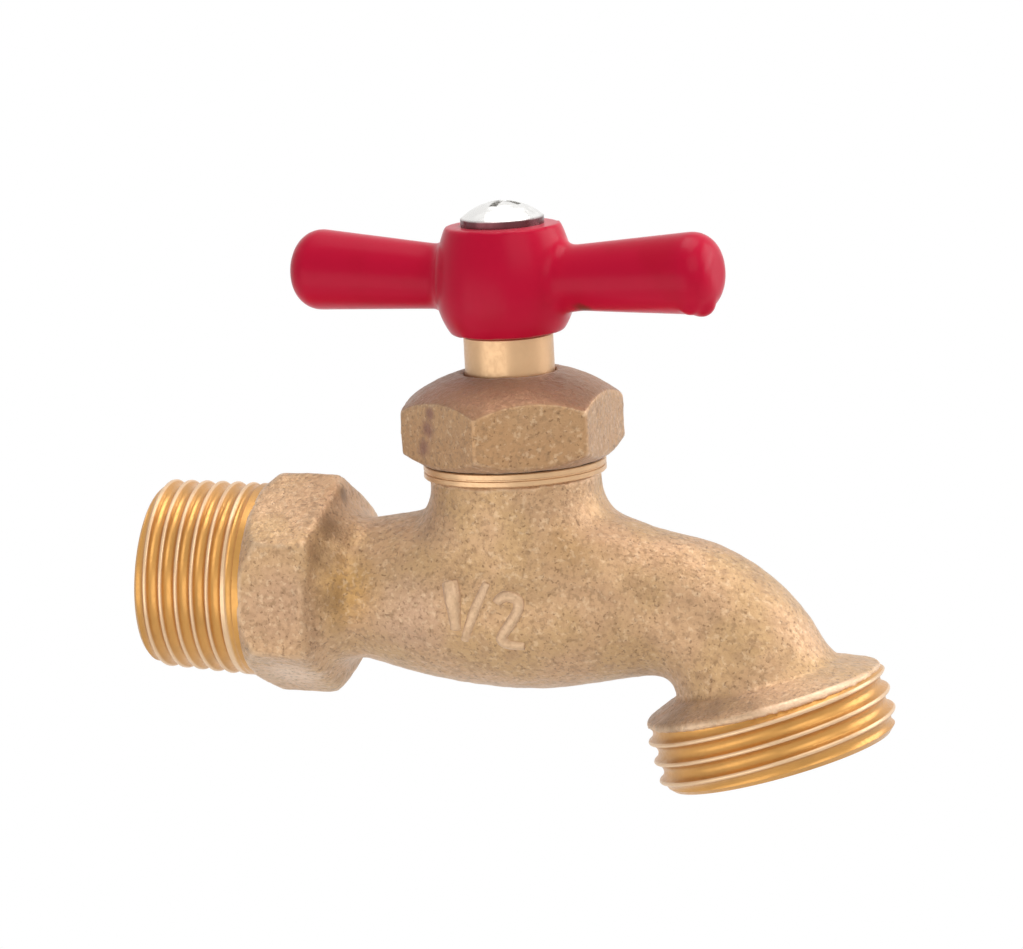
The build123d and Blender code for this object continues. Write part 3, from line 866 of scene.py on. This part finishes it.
class TAP_OT_body(bpy.types.Operator):
    """Cast skin of the body between its threads and the neck ring"""

    bl_idname = "tap.body"
    bl_label = "Cast the body"

    def execute(self, context):
        settings = context.scene.tap_cast
        skin = copy_node("body", "cast_body")
        # Cut a hair inside the threads and the ring, so that their ends lie within the skin
        cut_away(skin, facing((0.02 * MM, 0, 0), (-1, 0, 0)))
        cut_away(skin, OUTLET @ lift(LIP_FOOT - 0.03) @ Matrix.Rotation(radians(LIP_SKEW), 4, "Y"))
        cut_away(skin, VALVE @ lift(NECK_HEIGHT - 0.02))
        finish_with(skin, "REMESH", mode="VOXEL", voxel_size=settings.voxel, use_smooth_shade=True)
        to_outlet = OUTLET.inverted()
        to_valve = VALVE.inverted()

        # Melt the solid's seams together, but leave the hex, the lip and the neck's rim crisp
        def melt(spot):
            hex_back = HEX_LENGTH + spot.y * tan(radians(HEX_BACK_SKEW))
            past_hex = (spot.x - hex_back + 2.6) / 4
            over_lip = -((to_outlet @ (spot * MM)).z / MM + 1.7) / 3
            under_ring = (NECK_HEIGHT - 0.8 - (to_valve @ (spot * MM)).z / MM) / 2
            return min(1, max(0, min(past_hex, over_lip, under_ring)))

        finish_with(skin, "SMOOTH", factor=0.5, iterations=80, vertex_group=weigh(skin, "melt", melt))
        finish_with(skin, "SMOOTH", factor=0.5, iterations=4)
        skin.vertex_groups.clear()
        roughen(skin, "mould lumps", settings.lump, 3.2 * MM)
        roughen(skin, "mould grit", settings.grit, 0.9 * MM, 1)
        smooth(skin, 180)
        mark_relief(skin)
        dress(skin, material("cast brass"), "valve_body", "body")
        return {"FINISHED"}


class TAP_OT_inlet(bpy.types.Operator):
    """Tapered pipe thread of the inlet, cut down to its roots"""

    bl_idname = "tap.inlet"
    bl_label = "Cut the inlet thread"

    def execute(self, context):
        settings = context.scene.tap_thread
        end = PIPE_RADIUS - TAPER_LENGTH * TAPER
        root = 0.8
        spigot = turn_ring(
            "inlet_thread",
            (
                (INLET_BORE, root), (INLET_BORE, 0.3 - INLET_LENGTH), (INLET_BORE + 0.3, -INLET_LENGTH),
                (end - INLET_LEAD, -INLET_LENGTH), (end, INLET_LEAD - INLET_LENGTH),
                (PIPE_RADIUS, TAPER_LENGTH - INLET_LENGTH), (PIPE_RADIUS, root),
            ),
            2 * settings.steps, INLET,
        )

        run_out = -1.9

        def shift(height):
            taper = min(0, height + INLET_LENGTH - TAPER_LENGTH) * TAPER
            return taper + min(1, max(0, 1 - height / run_out)) * 0.8

        groove = thread_groove(
            "inlet groove", PIPE_RADIUS, settings.pipe_pitch / MM, 0.7, 7, settings.pipe_start / MM,
            settings.steps, INLET, shift,
        )
        carve(spigot, groove)
        smooth(spigot, 25)
        dress(spigot, material("inlet brass"), "valve_body", "body")
        return {"FINISHED"}


class TAP_OT_outlet(bpy.types.Operator):
    """Hose thread of the outlet, below the cast lip"""

    bl_idname = "tap.outlet"
    bl_label = "Cut the outlet thread"

    def execute(self, context):
        settings = context.scene.tap_thread
        top = 0.3
        collar = OUTLET_RADIUS - 0.45
        cone_top = OUTLET_CONE_BASE + (top - 0.1) * (OUTLET_BORE - OUTLET_CONE_BASE) / 2.2
        ring = turn_ring(
            "outlet_thread",
            (
                (cone_top, top), (OUTLET_BORE, 2.3), (OUTLET_BORE, OUTLET_LENGTH - 0.3),
                (OUTLET_BORE + 0.3, OUTLET_LENGTH), (OUTLET_RADIUS - OUTLET_LEAD, OUTLET_LENGTH),
                (OUTLET_RADIUS, OUTLET_LENGTH - OUTLET_LEAD), (OUTLET_RADIUS, 0.95),
                (collar, 0.6), (collar, top),
            ),
            2 * settings.steps, OUTLET,
        )
        groove = thread_groove(
            "outlet groove", OUTLET_RADIUS, settings.hose_pitch / MM, 0.9, 5, settings.hose_start / MM,
            settings.steps, OUTLET,
        )
        carve(ring, groove)
        smooth(ring, 25)
        dress(ring, material("outlet brass"), "valve_body", "body")
        return {"FINISHED"}


class TAP_OT_neck(bpy.types.Operator):
    """Turned ring under the packing nut, with the neck thread inside the nut"""

    bl_idname = "tap.neck"
    bl_label = "Turn the neck ring"

    def execute(self, context):
        settings = context.scene.tap_thread
        base = NECK_HEIGHT - 0.6
        middle = (NECK_HEIGHT + RING_TOP) / 2
        ring = turn_ring(
            "neck_ring",
            (
                (NECK_BORE, base), (NECK_RADIUS - 0.5, base), (NECK_RADIUS - 0.5, NECK_HEIGHT - 0.05),
                (RING_RADIUS - 0.12, NECK_HEIGHT), (RING_RADIUS, NECK_HEIGHT + 0.12),
                (RING_RADIUS, middle - 0.14), (RING_RADIUS - 0.16, middle - 0.06),
                (RING_RADIUS - 0.16, middle + 0.06), (RING_RADIUS, middle + 0.14),
                (RING_RADIUS, RING_TOP - 0.1), (RING_RADIUS - 0.1, RING_TOP),
                (NECK_THREAD_RADIUS, RING_TOP), (NECK_THREAD_RADIUS, NECK_TOP), (NECK_BORE, NECK_TOP),
            ),
            2 * settings.steps, VALVE,
        )
        smooth(ring, 42)
        dress(ring, material("turned brass"), "valve_body", "body")
        return {"FINISHED"}


class TAP_OT_nut(bpy.types.Operator):
    """Cast packing nut with softened edges"""

    bl_idname = "tap.nut"
    bl_label = "Cast the packing nut"

    def execute(self, context):
        settings = context.scene.tap_cast
        nut = copy_node("packing_nut", "cast_nut")
        finish_with(nut, "REMESH", mode="VOXEL", voxel_size=settings.nut_voxel, use_smooth_shade=True)
        finish_with(nut, "SMOOTH", factor=0.5, iterations=3)
        roughen(nut, "nut lumps", settings.lump * 0.8, 2.6 * MM)
        roughen(nut, "nut grit", settings.grit * 0.8, 0.7 * MM, 1)
        smooth(nut, 180)
        mark_relief(nut)
        dress(nut, material("nut brass"), "valve_body", "packing_nut")
        return {"FINISHED"}


class TAP_OT_stem(bpy.types.Operator):
    """Turned stem"""

    bl_idname = "tap.stem"
    bl_label = "Turn the stem"

    def execute(self, context):
        stem = copy_node("stem", "turned_stem")
        smooth(stem, 35)
        dress(stem, material("turned brass"), "stem", "stem")
        return {"FINISHED"}


class TAP_OT_handle(bpy.types.Operator):
    """Enamelled handle with paint-softened edges and lumps of enamel"""

    bl_idname = "tap.handle"
    bl_label = "Enamel the handle"

    def execute(self, context):
        settings = context.scene.tap_handle
        handle = copy_node("handle", "enamelled_handle")
        for centre, radius in ENAMEL_LUMPS:
            bpy.ops.object.select_all(action="DESELECT")
            bpy.ops.mesh.primitive_uv_sphere_add(radius=radius * MM, location=Vector(centre) * MM)
            join(handle, bpy.context.object)
        finish_with(handle, "REMESH", mode="VOXEL", voxel_size=settings.voxel, use_smooth_shade=True)
        run = weigh(handle, "run", lambda spot: max(0, 1 - (spot - Vector(WEB)).length / 4.5))
        finish_with(handle, "SMOOTH", factor=0.5, iterations=40, vertex_group=run)
        finish_with(handle, "SMOOTH", factor=0.5, iterations=8)
        handle.vertex_groups.clear()
        smooth(handle, 180)
        dress(handle, material("red enamel"), "stem", "handle")
        return {"FINISHED"}


class TAP_OT_screw(bpy.types.Operator):
    """Plated handle screw with a domed head"""

    bl_idname = "tap.screw"
    bl_label = "Plate the handle screw"

    def execute(self, context):
        screw = copy_node("handle_screw", "plated_screw")
        smooth(screw, 30)
        dress(screw, material("bright plating"), "stem", "handle_screw")
        return {"FINISHED"}


class TAP_OT_inner(bpy.types.Operator):
    """Finishes of the packing, its washer, the seat washer and its screw"""

    bl_idname = "tap.inner"
    bl_label = "Finish the inner pieces"

    def execute(self, context):
        finishes = {
            "packing_washer": "turned brass", "packing_ring": "packing cord",
            "seat_washer": "black rubber", "washer_screw": "turned brass",
        }
        for node, finish in finishes.items():
            piece = frame["nodes"][node]
            piece.data.materials.clear()
            piece.data.materials.append(material(finish))
        return {"FINISHED"}


def white_where_seen(tree, shader):
    """Plain white for the camera and for reflections, the given shader for all other light."""
    path = tree.nodes.new("ShaderNodeLightPath")
    seen = path.outputs["Is Camera Ray"]
    for label in ("Is Glossy Ray", "Is Transmission Ray"):
        either = tree.nodes.new("ShaderNodeMath")
        either.operation = "MAXIMUM"
        link(tree, seen, either.inputs[0])
        link(tree, path.outputs[label], either.inputs[1])
        seen = either.outputs[0]
    mix = tree.nodes.new("ShaderNodeMixShader")
    link(tree, seen, mix.inputs["Fac"])
    link(tree, shader, mix.inputs[1])
    return mix


def build_world():
    world = bpy.data.worlds.new("studio")
    world.use_nodes = True
    bpy.context.scene.world = world
    tree = world.node_tree
    fill = tree.nodes["Background"]
    fill.inputs["Color"].default_value = (1, 1, 1, 1)
    fill.inputs["Strength"].default_value = 0.12
    white = tree.nodes.new("ShaderNodeBackground")
    white.inputs["Color"].default_value = (1, 1, 1, 1)
    mix = white_where_seen(tree, fill.outputs["Background"])
    link(tree, white.outputs["Background"], mix.inputs[2])
    link(tree, mix.outputs["Shader"], tree.nodes["World Output"].inputs["Surface"])


def build_floor():
    """Plain pale floor well below the tap, which hangs from its pipe."""
    bpy.ops.object.select_all(action="DESELECT")
    bpy.ops.mesh.primitive_plane_add(size=6)
    floor = bpy.context.object
    floor.name = "floor"
    edit(floor)
    bpy.ops.transform.translate(value=(0, 0, CAD_BOX[0][2] - 0.12))
    done()
    pale = bpy.data.materials.new("pale floor")
    pale.use_nodes = True
    tree = pale.node_tree
    shader = tree.nodes["Principled BSDF"]
    shader.inputs["Base Color"].default_value = (0.86, 0.85, 0.84, 1)
    shader.inputs["Roughness"].default_value = 0.8
    white = tree.nodes.new("ShaderNodeEmission")
    mix = white_where_seen(tree, shader.outputs["BSDF"])
    link(tree, white.outputs["Emission"], mix.inputs[2])
    link(tree, mix.outputs["Shader"], tree.nodes["Material Output"].inputs["Surface"])
    floor.data.materials.append(pale)


def build_lamp(name, spot, size, power):
    bpy.ops.object.select_all(action="DESELECT")
    bpy.ops.object.light_add(type="AREA", location=spot)
    lamp = bpy.context.object
    lamp.name = name
    lamp.data.size = size
    lamp.data.energy = power
    lamp.rotation_euler = (Vector(LAMP_TARGET) - Vector(spot)).to_track_quat("-Z", "Y").to_euler()


def build_camera(settings):
    """Camera at the photograph's own angle, distance and framing."""
    around, over, roll = settings.azimuth, settings.elevation, settings.roll
    back = Vector((sin(around) * cos(over), -cos(around) * cos(over), sin(over)))
    right = Vector((cos(around), sin(around), 0))
    up = back.cross(right)
    leaning_right = right * cos(roll) + up * sin(roll)
    leaning_up = up * cos(roll) - right * sin(roll)
    target = Vector(CAMERA_TARGET) * MM
    data = bpy.data.cameras.new("camera")
    camera = bpy.data.objects.new("camera", data)
    bpy.context.scene.collection.objects.link(camera)
    turn = Matrix((leaning_right, leaning_up, back)).transposed().to_4x4()
    camera.matrix_world = Matrix.Translation(target + back * settings.distance) @ turn
    data.sensor_width = 36
    data.lens = settings.lens
    data.shift_x, data.shift_y = CAMERA_SHIFT
    data.clip_start = 0.01
    bpy.context.scene.camera = camera


class TAP_OT_stage(bpy.types.Operator):
    """Pale floor, soft lamps, white surroundings and the camera"""

    bl_idname = "tap.stage"
    bl_label = "Set the stage"

    def execute(self, context):
        context.scene.view_settings.view_transform = "Standard"
        build_world()
        build_floor()
        for lamp in LAMPS:
            build_lamp(*lamp)
        build_camera(context.scene.tap_stage)
        return {"FINISHED"}


class TAP_PT_panel(bpy.types.Panel):
    """Every step of the tap's look, with its sizes and colours"""

    bl_idname = "TAP_PT_panel"
    bl_label = "Hose tap"
    bl_space_type = "VIEW_3D"
    bl_region_type = "UI"
    bl_category = "Hose tap"

    def draw(self, context):
        for name in SETTINGS:
            group = getattr(context.scene, name)
            for prop in group.bl_rna.properties:
                if not prop.is_readonly and prop.identifier != "name":
                    self.layout.prop(group, prop.identifier)
        for operator in OPERATORS:
            self.layout.operator(operator.bl_idname)


SETTINGS = {
    "tap_cast": CastSettings, "tap_thread": ThreadSettings,
    "tap_handle": HandleSettings, "tap_stage": StageSettings,
}
OPERATORS = (
    TAP_OT_materials, TAP_OT_body, TAP_OT_mark, TAP_OT_inlet, TAP_OT_outlet, TAP_OT_neck, TAP_OT_nut,
    TAP_OT_stem, TAP_OT_handle, TAP_OT_screw, TAP_OT_inner, TAP_OT_stage,
)


def register():
    for item in (*SETTINGS.values(), *OPERATORS, TAP_PT_panel):
        bpy.utils.register_class(item)
    for name, group in SETTINGS.items():
        setattr(bpy.types.Scene, name, bpy.props.PointerProperty(type=group))


def unregister():
    for name in SETTINGS:
        delattr(bpy.types.Scene, name)
    for item in reversed((*SETTINGS.values(), *OPERATORS, TAP_PT_panel)):
        bpy.utils.unregister_class(item)


def main():
    register()
    bpy.ops.tap.materials()
    bpy.ops.tap.body()
    bpy.ops.tap.mark()
    bpy.ops.tap.inlet()
    bpy.ops.tap.outlet()
    bpy.ops.tap.neck()
    bpy.ops.tap.nut()
    bpy.ops.tap.stem()
    bpy.ops.tap.handle()
    bpy.ops.tap.screw()
    bpy.ops.tap.inner()
    bpy.ops.tap.stage()


if __name__ == "__main__":
    main()
